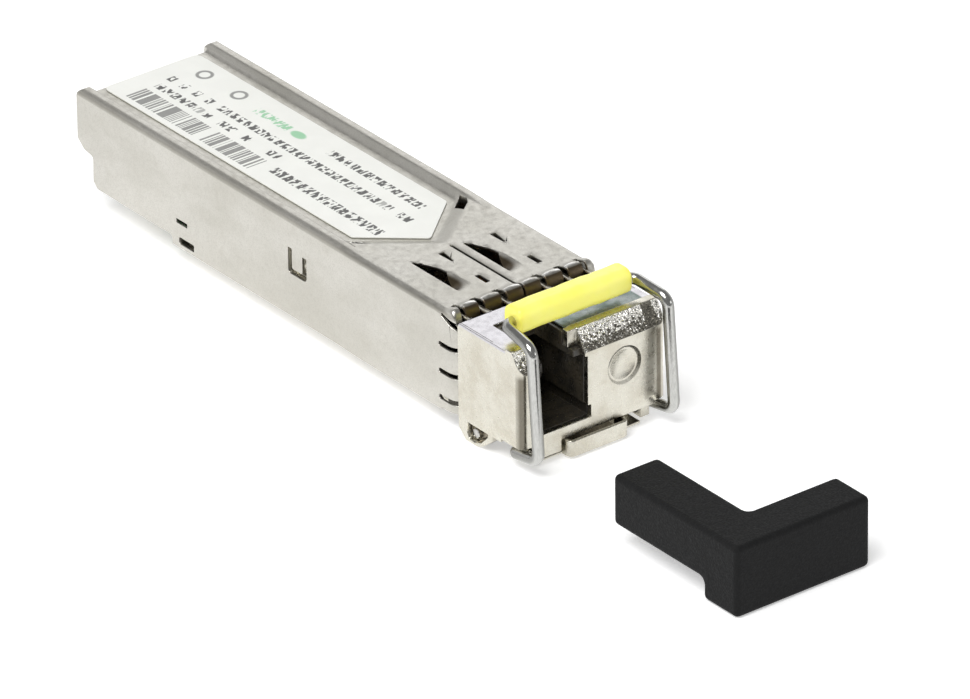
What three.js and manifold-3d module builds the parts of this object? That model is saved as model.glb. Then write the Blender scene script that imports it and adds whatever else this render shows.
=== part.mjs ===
// Small form-factor pluggable optical transceiver with one LC port, a wire bail latch
// and its rubber dust plug.  Millimetres, +Z up.
//
// Inside the builders, Y counts rearwards from the foremost datum of the latch wire,
// X points right as seen from the front, and Z counts up from the shell's bottom face.
// The whole group is then moved so that the origin lies on the bottom face, ORIGIN_Y
// behind that datum.

import * as THREE from 'three';
import { mergeVertices } from 'three/addons/utils/BufferGeometryUtils.js';
import { ConvexGeometry } from 'three/addons/geometries/ConvexGeometry.js';
import Module from 'manifold-3d';

const wasm = await Module();
wasm.setup();

// ---------------------------------------------------------------- driving dimensions
const ORIGIN_Y = 30;

const SHELL_HALF = 6.7;        // half of the 13.4 mm wide shell
const SHELL_TOP = 8.5;
const SHELL_REAR = 56.7;
const SHEET = 0.3;             // cover sheet thickness
const FOLD_R = 0.5;            // outside radius of the cover's folds
const COVER_FRONT = 11.3;      // where the spring fingers start
const FLOOR_END = 44.7;        // rear end of the closed bottom
const TAIL_BOTTOM = 0.8;       // bottom edge of the shell behind FLOOR_END

const RECESS_Z = 8.0;          // label recess in the cover's top
const RECESS_HALF = 5.7;
const RECESS_APEX = 20.6;      // the recess starts as an arrow point
const RAMP = 1.8;              // length of the sloping step into the recess
const ARROW_SLOPE = 0.81;      // mm rearwards per mm sideways along the arrow's edges

const NOSE_HALF = 6.85;
const NOSE_FRONT = 1.4;
const NOSE_REAR = 9.0;
const NOSE_BOTTOM = 0.35;
const NOSE_TOP = 8.5;
const NOSE_DECK = 8.3;         // top of the nose behind its front ridge
const NOSE_LIP = -0.6;         // bottom of the lip under the port

const PORT = { x0: -5.35, x1: -0.55, z0: 1.35, z1: 6.5, depth: 9.4 };
const PORT_AXIS = { x: -2.95, z: 4.0 };

const TRAY_HALF = 6.35;
const TRAY_WALL_IN = 5.5;
const TRAY_FLOOR = 0.9;
const LEDGE_Z = 2.2;           // top of the tray walls, where the board rests

const BOARD = { z0: 2.25, z1: 3.25, y0: 25, y1: 53.3, half: 6.2, tailHalf: 4.6, tailY: 46 };
const CONTACT_PITCH = 0.8;
const CONTACTS_PER_SIDE = 10;

const WIRE_R = 0.46;
const BAIL_HALF = 6.41;        // from the middle plane to the legs' centreline
const BAIL_PIVOT = { y: 3.0, z: -0.22 };
const BAIL_BAR = { y: 4.3, z: 9.9 };
const SLEEVE = { y: 4.35, z: 10.0, halfWidth: 1.05, half: 5.25 };

const ROCKER_PIN = { y: 7.2, z: -0.4, r: 0.4 };
const BOSS_Z = -0.45;

const FLOOR_Z = -1.25;         // what the module and its plug lie on

const PLUG = {
  left: -8.12, right: 4.4, front: -25.35, shoulder: -21.4, tip: -11.0,
  arm: 4.22, height: 5.88, armHeight: 4.2,
};

// ---------------------------------------------------------------- solids
function solid(geometry) {
  const g = geometry.index ? geometry : geometry.clone();
  g.deleteAttribute('normal');
  g.deleteAttribute('uv');
  const merged = mergeVertices(g, 1e-4);
  return new wasm.Manifold(new wasm.Mesh({
    numProp: 3,
    vertProperties: new Float32Array(merged.attributes.position.array),
    triVerts: new Uint32Array(merged.index.array),
  }));
}

function geometryOf(manifold) {
  const mesh = manifold.getMesh();
  const g = new THREE.BufferGeometry();
  g.setAttribute('position', new THREE.BufferAttribute(new Float32Array(mesh.vertProperties), 3));
  g.setIndex(new THREE.BufferAttribute(new Uint32Array(mesh.triVerts), 1));
  return g;
}

function join(...parts) {
  return parts.reduce((sum, part) => sum.add(part));
}

function cut(body, ...tools) {
  return tools.reduce((rest, tool) => rest.subtract(tool), body);
}

function box(x0, x1, y0, y1, z0, z1) {
  const g = new THREE.BoxGeometry(x1 - x0, y1 - y0, z1 - z0);
  g.translate((x0 + x1) / 2, (y0 + y1) / 2, (z0 + z1) / 2);
  return solid(g);
}

// A box on both sides of the middle plane, from |x| = x0 to |x| = x1.
function boxPair(x0, x1, y0, y1, z0, z1) {
  return join(box(x0, x1, y0, y1, z0, z1), box(-x1, -x0, y0, y1, z0, z1));
}

// Corner points [u, v] or [u, v, radius] become an outline with rounded corners.
function outline(corners, segments = 5) {
  const points = [];
  const n = corners.length;
  for (let i = 0; i < n; i += 1) {
    const here = new THREE.Vector2(corners[i][0], corners[i][1]);
    const radius = corners[i][2] ?? 0;
    if (radius === 0) {
      points.push(here);
      continue;
    }
    const before = new THREE.Vector2(...corners[(i + n - 1) % n].slice(0, 2)).sub(here).normalize();
    const after = new THREE.Vector2(...corners[(i + 1) % n].slice(0, 2)).sub(here).normalize();
    const half = Math.acos(THREE.MathUtils.clamp(before.dot(after), -1, 1)) / 2;
    const toCentre = before.clone().add(after).normalize().multiplyScalar(radius / Math.sin(half));
    const centre = here.clone().add(toCentre);
    const a = here.clone().addScaledVector(before, radius / Math.tan(half)).sub(centre);
    const b = here.clone().addScaledVector(after, radius / Math.tan(half)).sub(centre);
    const sweep = Math.atan2(a.cross(b), a.dot(b));
    for (let k = 0; k <= segments; k += 1) {
      points.push(a.clone().rotateAround(new THREE.Vector2(), (sweep * k) / segments).add(centre));
    }
  }
  return new THREE.Shape(points);
}

function extrude(shape, depth) {
  return new THREE.ExtrudeGeometry(shape, { depth, bevelEnabled: false, curveSegments: 12 });
}

// An outline in (x, y), from z0 up to z1.
function prismZ(shape, z0, z1) {
  const g = extrude(shape, z1 - z0);
  g.translate(0, 0, z0);
  return solid(g);
}

// An outline in (y, z), from x0 to x1.
function prismX(shape, x0, x1) {
  const g = extrude(shape, x1 - x0);
  const turn = new THREE.Matrix4().makeBasis(
    new THREE.Vector3(0, 1, 0), new THREE.Vector3(0, 0, 1), new THREE.Vector3(1, 0, 0));
  g.applyMatrix4(turn);
  g.translate(x0, 0, 0);
  return solid(g);
}

// An outline in (x, z), from y0 to y1.
function prismY(shape, y0, y1) {
  const g = extrude(shape, y1 - y0);
  g.rotateX(Math.PI / 2);
  g.translate(0, y1, 0);
  return solid(g);
}

function rodX(x0, x1, y, z, radius, sides = 20) {
  const g = new THREE.CylinderGeometry(radius, radius, x1 - x0, sides);
  g.rotateZ(Math.PI / 2);
  g.translate((x0 + x1) / 2, y, z);
  return solid(g);
}

function rodY(y0, y1, x, z, radius, sides = 28) {
  const g = new THREE.CylinderGeometry(radius, radius, y1 - y0, sides);
  g.translate(x, (y0 + y1) / 2, z);
  return solid(g);
}

function hull(points) {
  return solid(new ConvexGeometry(points.map((p) => new THREE.Vector3(...p))));
}

// ---------------------------------------------------------------- die-cast base and nose
function noseBlock() {
  const side = outline([
    [NOSE_FRONT, NOSE_BOTTOM], [NOSE_REAR, NOSE_BOTTOM], [NOSE_REAR, 8.0],
    [8.8, NOSE_DECK, 0.15], [3.3, NOSE_DECK], [3.2, NOSE_TOP], [2.5, NOSE_TOP],
    [NOSE_FRONT, 6.85],
  ]);
  const plan = outline([
    [-NOSE_HALF, NOSE_FRONT, 0.6], [NOSE_HALF, NOSE_FRONT, 0.6], [NOSE_HALF, NOSE_REAR],
    [-NOSE_HALF, NOSE_REAR],
  ]);
  return prismX(side, -7.5, 7.5).intersect(prismZ(plan, 0, 10));
}

function pinEar(side) {
  const ear = outline([
    [5.0, 0.45], [5.0, -0.1, 0.3], [6.0, -0.9, 0.4], [6.8, FLOOR_Z, 0.5], [8.1, FLOOR_Z, 0.3],
    [NOSE_REAR, -0.4], [NOSE_REAR, 0.45],
  ]);
  const opening = outline([
    [5.4, 0.45], [5.5, 0.05, 0.2], [6.3, -0.75, 0.2], [7.0, -1.0, 0.2], [7.7, -0.9, 0.2],
    [7.95, -0.4, 0.2], [7.9, 0.45],
  ]);
  const span = (inner, outer) => (side > 0 ? [inner, outer] : [-outer, -inner]);
  return cut(
    prismX(ear, ...span(5.9, NOSE_HALF)),
    prismX(opening, ...span(6.3, 8)),
    rodX(...span(5, 8), ROCKER_PIN.y, ROCKER_PIN.z, ROCKER_PIN.r + 0.02),
  );
}

// Lip that closes the front below the port, beside the rocker's tray.
function portLip() {
  return box(-5.8, -3.05, NOSE_FRONT, NOSE_FRONT + 0.6, NOSE_LIP, NOSE_BOTTOM + 0.1);
}

// Ribs of the casting that stand in the gaps between the cover's top fingers.
function fingerRibs() {
  const rib = (x, half) => box(x - half, x + half, 8.6, 10.6, 7.4, NOSE_DECK - 0.03);
  const wideGaps = TOP_GAPS.filter(([, width]) => width > 0.2);
  return wideGaps.map(([x, width]) => rib(x, width / 2 - 0.05));
}

// Small lugs under the nose that carry the inward ends of the bail wire.
function bailLug(x0, x1) {
  const lug = box(x0, x1, BAIL_PIVOT.y - 0.8, BAIL_PIVOT.y + 0.8, -0.95, NOSE_BOTTOM + 0.1);
  return cut(lug, rodX(x0 - 1, x1 + 1, BAIL_PIVOT.y, BAIL_PIVOT.z, WIRE_R + 0.06));
}

// Posts beside the board, with the pocket that each snap tab of the cover springs into.
function snapPost(side) {
  const x0 = side > 0 ? 5.5 : -TRAY_HALF;
  const post = box(x0, x0 + TRAY_HALF - 5.5, 26.4, 30.7, 0.5, 6.6);
  const pocketX = side > 0 ? 5.95 : -6.6;
  return cut(post, box(pocketX, pocketX + 0.65, 27.4, 30.2, 3.6, 6.15));
}

function portShape(grow) {
  return outline([
    [PORT.x0 - grow, PORT.z0 - grow], [PORT.x1 + grow + 0.3, PORT.z0 - grow],
    [PORT.x1 + grow + 0.3, 2.35], [PORT.x1 + grow, 2.35], [PORT.x1 + grow, PORT.z1 + grow],
    [PORT.x0 - grow, PORT.z1 + grow],
  ]);
}

function baseCasting() {
  const body = join(
    noseBlock(),
    box(-5.9, 5.9, 8.5, 13.6, 0, 7.6),
    box(-TRAY_HALF, TRAY_HALF, 13.4, FLOOR_END, 0, TRAY_FLOOR),
    boxPair(TRAY_WALL_IN, TRAY_HALF, 13.4, 54.3, TAIL_BOTTOM + 0.05, LEDGE_Z),
    box(-2.1, 2.1, 8.5, 14.4, 0, 2.05),
    pinEar(-1),
    pinEar(1),
    portLip(),
    ...fingerRibs(),
    bailLug(-5.85, -5.0),
    bailLug(5.0, 5.85),
    snapPost(-1),
    snapPost(1),
  );
  const latchWindow = prismZ(outline([
    [-5.3, 0], [-0.8, 0], [-0.8, 2.5], [-1.6, 2.5], [-1.6, 3.1], [-1.15, 3.1], [-1.15, 7.0],
    [-5.05, 7.0], [-5.05, 2.5], [-5.3, 2.5],
  ]), 6.4, 9);
  return cut(
    body,
    prismY(portShape(0), 0, 2.2),
    box(-5.65, -0.05, 1.9, 10.1, 0.95, 7.1),
    latchWindow,
    box(-5.6, -0.5, 10, 13.7, 2.05, 6.9),
    box(0.6, 5.5, 2.6, 13.7, 2.05, 6.9),
    box(0.6, 5.5, 2.6, 8.6, 1.2, 6.9),
    box(-2.7, 2.7, 5.9, 9.05, -1, 1.0),
    box(-1.6, 1.6, 8.9, 14.1, -1, 1.65),
    dimple(),
    boxPair(5.95, 7, 41.5, 44.3, 0.3, 2.3),
    boxPair(5.86, 7, 1, 3.9, 0, 0.62),
  );
}

// Shallow round ejector mark in the blank half of the front face.
function dimple() {
  const ball = new THREE.SphereGeometry(3.1, 40, 24);
  ball.translate(2.9, NOSE_FRONT - 2.65, 4.6);
  return solid(ball);
}

// ---------------------------------------------------------------- stamped cover
// Arrow-fronted region, from its apex to past the rear end, as a convex outline.
function arrow(apexY, halfWidth) {
  return [
    [0, apexY], [halfWidth, apexY + ARROW_SLOPE * halfWidth], [halfWidth, SHELL_REAR + 1],
    [-halfWidth, SHELL_REAR + 1], [-halfWidth, apexY + ARROW_SLOPE * halfWidth],
  ];
}

function recess(bottomZ, grow) {
  const low = arrow(RECESS_APEX - grow, RECESS_HALF + grow);
  const high = arrow(RECESS_APEX - RAMP - grow, RECESS_HALF + grow);
  const top = bottomZ + (SHELL_TOP - RECESS_Z);
  const points = [];
  for (const [x, y] of low) points.push([x, y, bottomZ]);
  for (const [x, y] of high) points.push([x, y, top], [x, y, top + 2]);
  return hull(points);
}

function shellProfile(inset) {
  const half = SHELL_HALF - inset;
  const r = FOLD_R - inset;
  return outline([
    [-half, -1], [half, -1], [half, SHELL_TOP - inset, r], [-half, SHELL_TOP - inset, r],
  ], 4);
}

function sideOutline() {
  return outline([
    [COVER_FRONT, 0], [FLOOR_END, 0], [FLOOR_END, TAIL_BOTTOM], [54.3, TAIL_BOTTOM], [54.8, 1.3],
    [54.8, 3.4, 0.3], [55.9, 3.6, 0.3], [SHELL_REAR, 4.3], [SHELL_REAR, 9], [COVER_FRONT, 9],
  ], 3);
}

// Louvre stamped in the flat front of the top: a tapered opening, its pressed-down lip, and
// two small relief holes beyond it.
function louvreOpenings(x) {
  const opening = outline([
    [x - 0.12, 12.5], [x + 1.1, 12.5, 0.2], [x + 1.35, 13.2, 0.3], [x + 1.1, 15.2],
    [x + 0.55, 17.0], [x, 18.2],
  ]);
  return join(
    prismZ(opening, 7.6, 9),
    box(x + 2.3, x + 2.7, 12.25, 13.55, 7.6, 9),
    prismZ(outline([[x + 2.45, 16.5], [x + 2.6, 16.5], [x + 2.85, 18.1], [x + 2.35, 18.1]]), 7.6, 9),
  );
}

function louvreLip(x) {
  return hull([
    [x + 1.3, 12.7, 8.45], [x + 1.75, 12.7, 8.45], [x + 0.85, 12.9, 8.05],
    [x + 1.1, 12.9, 7.9], [x + 1.15, 15.0, 8.45], [x + 1.6, 15.0, 8.45], [x + 0.8, 14.8, 8.2],
    [x + 1.05, 14.8, 8.05],
  ]);
}

// Gaps that part the spring fingers of the top, as [x, width].
const TOP_GAPS = [
  [-5.72, 0.36], [-3.95, 0.54], [-1.85, 0.54], [0, 0.16], [1.85, 0.54], [3.95, 0.54], [5.72, 0.36],
];
const FINGERS_HALF = 6.2;

function topFingers() {
  const arch = outline([
    [COVER_FRONT + 0.1, 8.2], [COVER_FRONT + 0.1, SHELL_TOP], [10.8, 8.54], [10.15, 8.76, 0.3],
    [9.78, 8.5, 0.3], [9.4, 7.75], [9.64, 7.7], [9.98, 8.32, 0.3], [10.2, 8.47, 0.3],
    [10.8, 8.26],
  ], 4);
  const slots = TOP_GAPS.map(([x, width]) => box(x - width / 2, x + width / 2, 7, 10.9, 7, 9));
  return cut(prismX(arch, -FINGERS_HALF, FINGERS_HALF), ...slots);
}

// The side fingers curl inwards into the gap behind the nose.
function sideFingers() {
  const curl = outline([
    [SHELL_HALF, COVER_FRONT + 0.1], [SHELL_HALF - SHEET, COVER_FRONT + 0.1],
    [SHELL_HALF - SHEET, 10.0, 0.6], [5.98, 9.25, 0.2], [5.98, 9.08], [6.3, 9.08, 0.3],
    [SHELL_HALF, 9.9, 0.6],
  ], 3);
  const strip = prismZ(curl, 0.15, 7.4);
  const slots = [1.03, 3.25, 5.5].map((z) => box(5, 7, 8, 11.35, z - 0.19, z + 0.19));
  const right = cut(strip, ...slots);
  return join(right, right.mirror([1, 0, 0]));
}

// U-shaped slot that frees a snap tab in each side wall.
function snapTabSlot() {
  return join(
    boxPair(6, 7, 27.7, 28.3, 3.85, 5.8),
    boxPair(6, 7, 29.4, 29.95, 3.85, 5.95),
    boxPair(6, 7, 27.7, 29.95, 3.85, 4.35),
  );
}

function topCover() {
  const outer = cut(prismY(shellProfile(0), COVER_FRONT, SHELL_REAR), recess(RECESS_Z, 0));
  const inner = cut(
    prismY(shellProfile(SHEET), COVER_FRONT - 1, SHELL_REAR + 1),
    recess(RECESS_Z - SHEET, SHEET),
  );
  const sheet = cut(outer, inner).intersect(prismX(sideOutline(), -8, 8));
  const rimWindow = prismZ(outline([[4.35, 22.4], [5.5, 23.3], [5.5, 24.6], [4.35, 23.6]]), 7, 9);
  const louvres = [-3.9, 1.0];
  const cutSheet = cut(
    sheet,
    box(-0.1, 0.1, 10, 18.6, 7.8, 9),
    ...louvres.map(louvreOpenings),
    rimWindow,
    rimWindow.mirror([1, 0, 0]),
    snapTabSlot(),
    boxPair(6, 7, 42.75, 44.15, 2.15, 2.5),
    boxPair(6, 7, 41.95, 43.85, 0.43, 0.95),
  );
  return join(cutSheet, topFingers(), sideFingers(), ...louvres.map(louvreLip));
}

function label() {
  const half = 4.52;
  const apex = 21.0;
  const shoulder = 24.85;
  const rear = 56.2;
  const shape = outline([
    [0, apex, 0.3], [half, shoulder, 0.3], [half, rear, 0.6], [-half, rear, 0.6],
    [-half, shoulder, 0.3],
  ], 4);
  return prismZ(shape, RECESS_Z + 0.02, RECESS_Z + 0.12);
}

// ---------------------------------------------------------------- optical port
function portInsert() {
  const shell = join(
    box(-5.6, -0.1, 1.95, 10.0, 1.0, 7.05),
    box(-4.98, -1.2, 3.3, 6.95, 7.0, 8.1),
  );
  const cavity = prismY(portShape(0), 0, PORT.depth);
  const channel = box(-4.7, -1.5, 0, 6.6, 6.3, 9);
  return cut(shell, cavity, channel, rodY(9, 11, PORT_AXIS.x, PORT_AXIS.z, 1.6));
}

function receptacleBarrel() {
  const { x, z } = PORT_AXIS;
  const body = join(
    rodY(5.6, 10.6, x, z, 1.45),
    rodY(10.5, 11.3, x, z, 1.9),
    rodY(11.2, 14.3, x, z, 1.6),
  );
  return cut(body, rodY(5, 11.2, x, z, 0.9), rodY(11, 15, x, z, 0.68));
}

function ceramicSleeve() {
  const { x, z } = PORT_AXIS;
  const tube = cut(rodY(6.0, 11.1, x, z, 0.82), rodY(5, 12, x, z, 0.68));
  return cut(tube, box(x - 0.12, x + 0.12, 5, 12, z, z + 2));
}

function fibreStub() {
  return rodY(9.0, 14.2, PORT_AXIS.x, PORT_AXIS.z, 0.62, 20);
}

function receptacleClamp() {
  const { x, z } = PORT_AXIS;
  const plate = box(x - 2.3, x + 2.3, 11.6, 12.5, 2.1, 6.8);
  return cut(plate, rodY(11, 13, x, z, 1.66), box(x - 1.66, x + 1.66, 11, 13, 2, z));
}

function bosaBody() {
  const block = box(-5.4, -0.5, 14.5, 19.7, 1.5, 6.5);
  return cut(
    block,
    rodY(16.5, 20, PORT_AXIS.x, PORT_AXIS.z, 1.95),
    rodY(14, 17, PORT_AXIS.x, PORT_AXIS.z, 0.75),
    rodX(-2.4, 0, 17, PORT_AXIS.z, 1.85, 28),
  );
}

function leads(place, across) {
  const offsets = [[-0.9, -0.9], [0.9, -0.9], [-0.9, 0.9], [0.9, 0.9]];
  return offsets.map(([u, v]) => place(across + u, PORT_AXIS.z + v));
}

function laserCan() {
  const { x, z } = PORT_AXIS;
  return join(
    rodY(17.4, 19.9, x, z, 1.85),
    rodY(19.75, 20.95, x, z, 2.65),
    ...leads((u, v) => rodY(20.9, 21.7, u, v, 0.2, 8), x),
  );
}

function photodiodeCan() {
  const y = 17;
  return join(
    rodX(-1.0, 0, y, PORT_AXIS.z, 1.75, 28),
    rodX(-0.35, 0.75, y, PORT_AXIS.z, 2.3, 28),
    ...leads((u, v) => rodX(0.7, 1.5, u, v, 0.2, 8), y),
  );
}

function laserFlex() {
  const strip = outline([
    [21.75, 6.0], [21.75, 3.9, 0.5], [23.2, 3.3, 0.5], [27.0, 3.3], [27.0, 3.42],
    [23.25, 3.42, 0.5], [21.87, 4.0, 0.4], [21.87, 6.0],
  ], 4);
  return prismX(strip, -4.6, -1.6);
}

function photodiodeFlex() {
  return join(
    box(1.6, 1.72, 15.2, 18.8, 1.95, 5.9),
    box(1.6, 4.4, 15.2, 27.5, 1.95, 2.07),
  );
}

// ---------------------------------------------------------------- circuit board
function circuitBoard() {
  const { y0, y1, half, tailHalf, tailY } = BOARD;
  const notch = 5.4;
  const right = [
    [half, y0], [half, 26.2], [notch, 26.2], [notch, 30.8], [half, 30.8], [half, tailY - 1],
    [tailHalf, tailY, 0.3], [tailHalf, y1 - 0.4], [tailHalf - 0.4, y1],
  ];
  const left = right.map(([x, y, r]) => [-x, y, r ?? 0]).reverse();
  return prismZ(outline([...right, ...left], 3), BOARD.z0, BOARD.z1);
}

function edgeContacts(z0, z1) {
  const start = -((CONTACTS_PER_SIDE - 1) * CONTACT_PITCH) / 2;
  const pads = [box(start, -start, 48.2, 48.45, z0, z1)];
  for (let i = 0; i < CONTACTS_PER_SIDE; i += 1) {
    const x = start + i * CONTACT_PITCH;
    pads.push(box(x - 0.27, x + 0.27, 48.2, 52.6, z0, z1));
  }
  return join(...pads);
}

function chip(x, y, width, length, height) {
  const z = BOARD.z1 + 0.02;
  return box(x - width / 2, x + width / 2, y - length / 2, y + length / 2, z, z + height);
}

// ---------------------------------------------------------------- latch
// A wire's centreline through corner points, each rounded with its own radius.
class WirePath extends THREE.Curve {
  constructor(corners, segments) {
    super();
    this.points = [];
    corners.forEach(([x, y, z, radius], i) => {
      const here = new THREE.Vector3(x, y, z);
      if (!radius) {
        this.points.push(here);
        return;
      }
      const before = new THREE.Vector3(...corners[i - 1].slice(0, 3)).sub(here).normalize();
      const after = new THREE.Vector3(...corners[i + 1].slice(0, 3)).sub(here).normalize();
      const half = before.angleTo(after) / 2;
      const middle = before.clone().add(after).normalize();
      const centre = here.clone().addScaledVector(middle, radius / Math.sin(half));
      const from = here.clone().addScaledVector(before, radius / Math.tan(half)).sub(centre);
      const axis = before.clone().cross(after).normalize();
      const sweep = -(Math.PI - 2 * half);
      for (let k = 0; k <= segments; k += 1) {
        const arm = from.clone().applyAxisAngle(axis, (sweep * k) / segments);
        this.points.push(arm.add(centre));
      }
    });
  }

  getUtoTmapping(u) {
    return u;
  }

  getPoint(t, target = new THREE.Vector3()) {
    const at = t * (this.points.length - 1);
    const i = Math.min(Math.floor(at), this.points.length - 2);
    return target.lerpVectors(this.points[i], this.points[i + 1], at - i);
  }

  getTangent(t, target = new THREE.Vector3()) {
    const last = this.points.length - 1;
    const i = Math.round(t * last);
    const out = this.points[Math.min(i + 1, last)].clone().sub(this.points[i]).normalize();
    const back = this.points[i].clone().sub(this.points[Math.max(i - 1, 0)]).normalize();
    return target.copy(out).add(back).normalize();
  }
}

function bailWire() {
  const { y: py, z: pz } = BAIL_PIVOT;
  const { y: by, z: bz } = BAIL_BAR;
  const left = [
    [-4.95, py, pz, 0], [-BAIL_HALF, py, pz, 0.55], [-BAIL_HALF, -0.1, 0.28, 0.85],
    [-BAIL_HALF, 0.62, 9.4, 0.9], [-6.0, by, bz, 0.75],
  ];
  const right = left.map(([x, y, z, r]) => [-x, y, z, r]).reverse();
  const path = new WirePath([...left, ...right], 7);
  const section = new THREE.Shape();
  section.absarc(0, 0, WIRE_R, 0, 2 * Math.PI);
  const g = new THREE.ExtrudeGeometry(section, {
    steps: path.points.length - 1, extrudePath: path, curveSegments: 12, bevelEnabled: false,
  });
  return solid(g);
}

function bailSleeve() {
  const { y, z, halfWidth, half } = SLEEVE;
  const shape = outline([
    [y - halfWidth, z - halfWidth, 0.8], [y + halfWidth, z - halfWidth, 0.8],
    [y + halfWidth, z + halfWidth, 0.8], [y - halfWidth, z + halfWidth, 0.8],
  ], 5);
  const tube = prismX(shape, -half, half);
  return cut(tube, rodX(-6, 6, BAIL_BAR.y, BAIL_BAR.z, WIRE_R + 0.05, 24));
}

function latchRocker() {
  const bottom = -1.03;
  const trayTop = 0.3;
  const half = 2.83;
  const sheet = 0.3;
  const { y, z } = ROCKER_PIN;
  const arm = outline([
    [y, -0.95], [8.4, -0.55, 0.3], [9.4, 0.06, 0.3], [11.5, 0.06], [11.5, BOSS_Z, 0.1],
    [12.2, BOSS_Z, 0.2], [13.6, 0.2], [13.6, 0.75], [10.9, 0.75, 0.3], [10.2, 0.5, 0.4],
    [8.0, 0.3, 0.3], [y, 0.3],
  ], 3);
  const rim = outline([
    [-half, 0.7, 0.55], [half, 0.7, 0.55], [half, 2.3], [-half, 2.3],
  ]);
  const hollow = outline([
    [-half + sheet, 0.7 + sheet, 0.25], [half - sheet, 0.7 + sheet, 0.25],
    [half - sheet, 2.4], [-half + sheet, 2.4],
  ]);
  const plate = join(
    cut(prismZ(rim, bottom, trayTop), prismZ(hollow, bottom + sheet, trayTop + 1)),
    box(-half, half, 2.2, 5.6, bottom, bottom + sheet),
    box(-4.6, 4.6, 1.7, 4.1, bottom, bottom + 0.2),
    box(-2.4, 2.4, 5.5, y, bottom, bottom + sheet),
    rodX(-2.4, 2.4, y, z, 0.78, 24),
    prismX(arm, -1.25, 1.25),
  );
  return cut(plate, rodX(-3, 3, y, z, ROCKER_PIN.r + 0.05, 20));
}

function rockerSpring() {
  const leaf = outline([
    [9.9, 0.8], [11.3, 1.45, 0.3], [12.8, 0.8], [12.8, 0.95], [11.3, 1.6, 0.3], [9.9, 0.95],
  ], 3);
  return prismX(leaf, -0.7, 0.7);
}

// ---------------------------------------------------------------- dust plug
function dustPlug() {
  const { left, right, front, shoulder, tip, arm } = PLUG;
  const top = FLOOR_Z + PLUG.height;
  const r = 0.35;
  const plan = outline([
    [left, front, r], [right, front, r], [right, shoulder, r], [left + arm, shoulder, 0.2],
    [left + arm, tip, r], [left, tip, r],
  ], 3);
  const underArm = box(left - 1, left + arm + 1, shoulder, tip + 1, FLOOR_Z - 1, top - PLUG.armHeight);
  return cut(prismZ(plan, FLOOR_Z, top), underArm);
}

// ---------------------------------------------------------------- assembly
const NICKEL = { color: 0xc2bdb2, roughness: 0.32, metalness: 1.0 };
const TIN_STEEL = { color: 0xc9c5bd, roughness: 0.42, metalness: 1.0 };
const STEEL = { color: 0xb9b9b6, roughness: 0.25, metalness: 1.0 };
const BLACK_PLASTIC = { color: 0x131312, roughness: 0.45, metalness: 0.0 };
const CHIP = { color: 0x1c1c1e, roughness: 0.5, metalness: 0.0 };
const CERAMIC = { color: 0xf2efe8, roughness: 0.3, metalness: 0.0 };
const GOLD = { color: 0xd9a83f, roughness: 0.3, metalness: 1.0 };
const FLEX = { color: 0xb5681f, roughness: 0.5, metalness: 0.0 };
const PASSIVE = { color: 0x9a7a55, roughness: 0.6, metalness: 0.0 };

const parts = [
  ['base_casting', baseCasting(), NICKEL],
  ['top_cover', topCover(), TIN_STEEL],
  ['label', label(), { color: 0xf0f0ea, roughness: 0.6, metalness: 0.0 }],
  ['port_insert', portInsert(), BLACK_PLASTIC],
  ['receptacle_barrel', receptacleBarrel(), STEEL],
  ['ceramic_sleeve', ceramicSleeve(), CERAMIC],
  ['fibre_stub', fibreStub(), CERAMIC],
  ['receptacle_clamp', receptacleClamp(), STEEL],
  ['bosa_body', bosaBody(), STEEL],
  ['laser_can', laserCan(), GOLD],
  ['photodiode_can', photodiodeCan(), GOLD],
  ['laser_flex', laserFlex(), FLEX],
  ['photodiode_flex', photodiodeFlex(), FLEX],
  ['circuit_board', circuitBoard(), { color: 0x1d5a34, roughness: 0.45, metalness: 0.0 }],
  ['edge_contacts_top', edgeContacts(BOARD.z1 + 0.01, BOARD.z1 + 0.06), GOLD],
  ['edge_contacts_bottom', edgeContacts(BOARD.z0 - 0.06, BOARD.z0 - 0.01), GOLD],
  ['laser_driver_chip', chip(-2.8, 30.0, 3, 3, 0.9), CHIP],
  ['limiting_amplifier_chip', chip(2.6, 31.5, 3, 3, 0.9), CHIP],
  ['microcontroller_chip', chip(-2.2, 38.5, 4, 4, 0.9), CHIP],
  ['memory_chip', chip(2.8, 38.5, 3, 3, 1.0), CHIP],
  ['power_inductor', chip(-2.6, 43.5, 2.5, 2, 1.6), { ...PASSIVE, color: 0x3a3a3c }],
  ['capacitor_1', chip(1.2, 43.5, 1.25, 2, 1.2), PASSIVE],
  ['capacitor_2', chip(3.4, 43.5, 1.25, 2, 1.2), PASSIVE],
  ['capacitor_3', chip(0, 34.8, 2, 1.25, 1.0), PASSIVE],
  ['thermal_pad', box(-4, 4, 28.5, 35.5, 0.95, 2.2), { color: 0x9fb4c8, roughness: 0.8, metalness: 0 }],
  ['bail_wire', bailWire(), STEEL],
  ['bail_sleeve', bailSleeve(), { color: 0xf2ef5a, roughness: 0.4, metalness: 0.0 }],
  ['latch_rocker', latchRocker(), NICKEL],
  ['rocker_pin', rodX(-6.6, 6.6, ROCKER_PIN.y, ROCKER_PIN.z, ROCKER_PIN.r), STEEL],
  ['rocker_spring', rockerSpring(), STEEL],
  ['dust_plug', dustPlug(), { color: 0x232526, roughness: 0.75, metalness: 0.0 }],
];

const transceiver = new THREE.Group();
transceiver.name = 'optical_transceiver';
transceiver.position.y = -ORIGIN_Y;

for (const [name, body, look] of parts) {
  const mesh = new THREE.Mesh(geometryOf(body), new THREE.MeshStandardMaterial(look));
  mesh.name = name;
  transceiver.add(mesh);
}

export default transceiver;
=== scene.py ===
"""Looks for the optical transceiver module: one-port pluggable module with its wire bail and dust plug.

Lengths are in millimetres in the drawing frame of the part (X right, Y rearwards from the wire's
foremost datum, Z up from the shell's bottom) until settle() turns them into the row frame's metres.
"""

import math

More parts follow.
